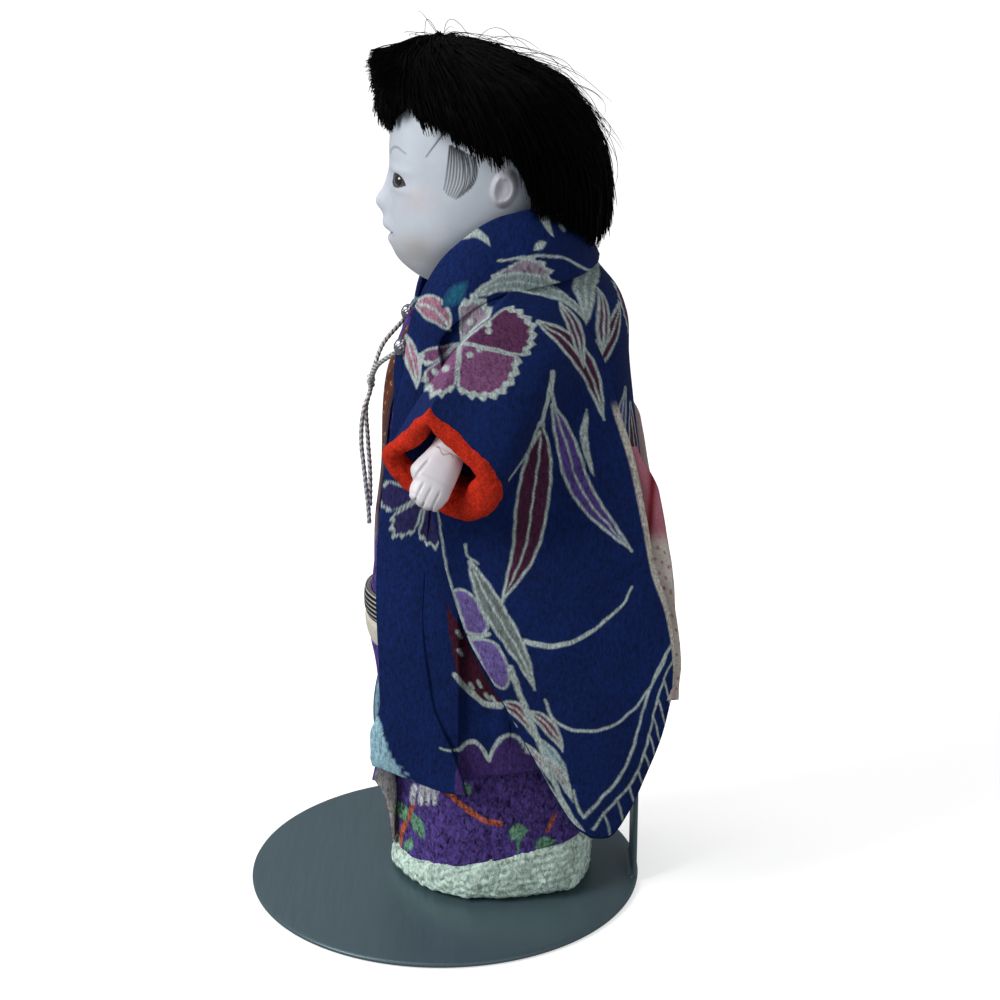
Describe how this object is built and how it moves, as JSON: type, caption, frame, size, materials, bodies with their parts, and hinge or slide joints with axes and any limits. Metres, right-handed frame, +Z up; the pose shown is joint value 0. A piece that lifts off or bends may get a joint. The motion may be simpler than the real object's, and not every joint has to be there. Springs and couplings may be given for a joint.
{
  "type": "ichimatsu doll",
  "caption": "Standing ichimatsu boy doll in a long-sleeved patterned haori and kimono, its head and arms turning, held by the upright tongue of a thin round steel stand.",
  "frame": {"origin": "centre of the stand disc's underside, on the surface that it stands on", "axes": "+Z up, the doll faces -Y, its left side is +X"},
  "size_m": [0.1086, 0.1064, 0.2126],
  "materials": {
    "stand_steel": "blued sheet, satin",
    "composition": "bare sawdust composition",
    "cotton_wadding": "loose cotton",
    "cotton_stuffed": "stuffed cotton cloth",
    "shell_white": "sawdust composition under polished shell-white, faintly satin",
    "eye_glass": "dark, glossy",
    "black_silk_hair": "strands, soft sheen",
    "haori_crepe": "printed silk crepe, navy with mauve flowers and pale outlines",
    "cuff_crepe": "red crepe",
    "under_robe_silk": "printed thin silk",
    "kimono_crepe": "printed coarse silk crepe, purple",
    "hem_roll_silk": "padded silk, pale green",
    "collar_brocade": "dark brocade with silver",
    "sash_silk": "ribbed silk with white lines",
    "silver_cord": "twisted silver and black",
    "silver": "polished"
  },
  "bodies": {
    "stand": {"stand_plate": "stand_steel"},
    "doll": {"torso": "composition", "wadding": "cotton_wadding", "under_robe": "under_robe_silk", "kimono_robe": "kimono_crepe", "kimono_front_flap": "kimono_crepe", "kimono_hem_roll": "hem_roll_silk", "kimono_collar": "collar_brocade", "obi": "sash_silk", "obi_knot": "sash_silk", "haori_back": "haori_crepe", "haori_collar": "haori_crepe", "cord_knot": "silver_cord", "thigh_left": "cotton_stuffed", "thigh_right": "cotton_stuffed", "lower_leg_left": "shell_white", "lower_leg_right": "shell_white", "haori_front_left": "haori_crepe", "haori_front_right": "haori_crepe", "silver_bead_left": "silver", "silver_bead_right": "silver", "cord_span_left": "silver_cord", "cord_span_right": "silver_cord", "cord_tail_left": "silver_cord", "cord_tail_right": "silver_cord"},
    "head": {"head": "shell_white", "eye_left": "eye_glass", "eye_right": "eye_glass", "hair": "black_silk_hair"},
    "arm_left": {"upper_arm_left": "cotton_stuffed", "forearm_left": "shell_white", "haori_sleeve_left": "haori_crepe", "cuff_lining_left": "cuff_crepe", "under_sleeve_left": "under_robe_silk"},
    "arm_right": {"upper_arm_right": "cotton_stuffed", "forearm_right": "shell_white", "haori_sleeve_right": "haori_crepe", "cuff_lining_right": "cuff_crepe", "under_sleeve_right": "under_robe_silk"}
  },
  "joints": [
    {"name": "doll_lift", "type": "slide", "parent": "stand", "child": "doll", "axis": [0, 0, 1], "range_m": [0, 0.065]},
    {"name": "head_turn", "type": "hinge", "parent": "doll", "child": "head", "pos_m": [0, 0.01456, 0.157], "axis": [0, 0, 1], "range_deg": [-20, 20]},
    {"name": "arm_left_swing", "type": "hinge", "parent": "doll", "child": "arm_left", "pos_m": [0.0232, 0.01656, 0.147], "axis": [-1, 0, 0], "range_deg": [-15, 45]},
    {"name": "arm_right_swing", "type": "hinge", "parent": "doll", "child": "arm_right", "pos_m": [-0.0232, 0.01656, 0.147], "axis": [-1, 0, 0], "range_deg": [-15, 45]}
  ]
}
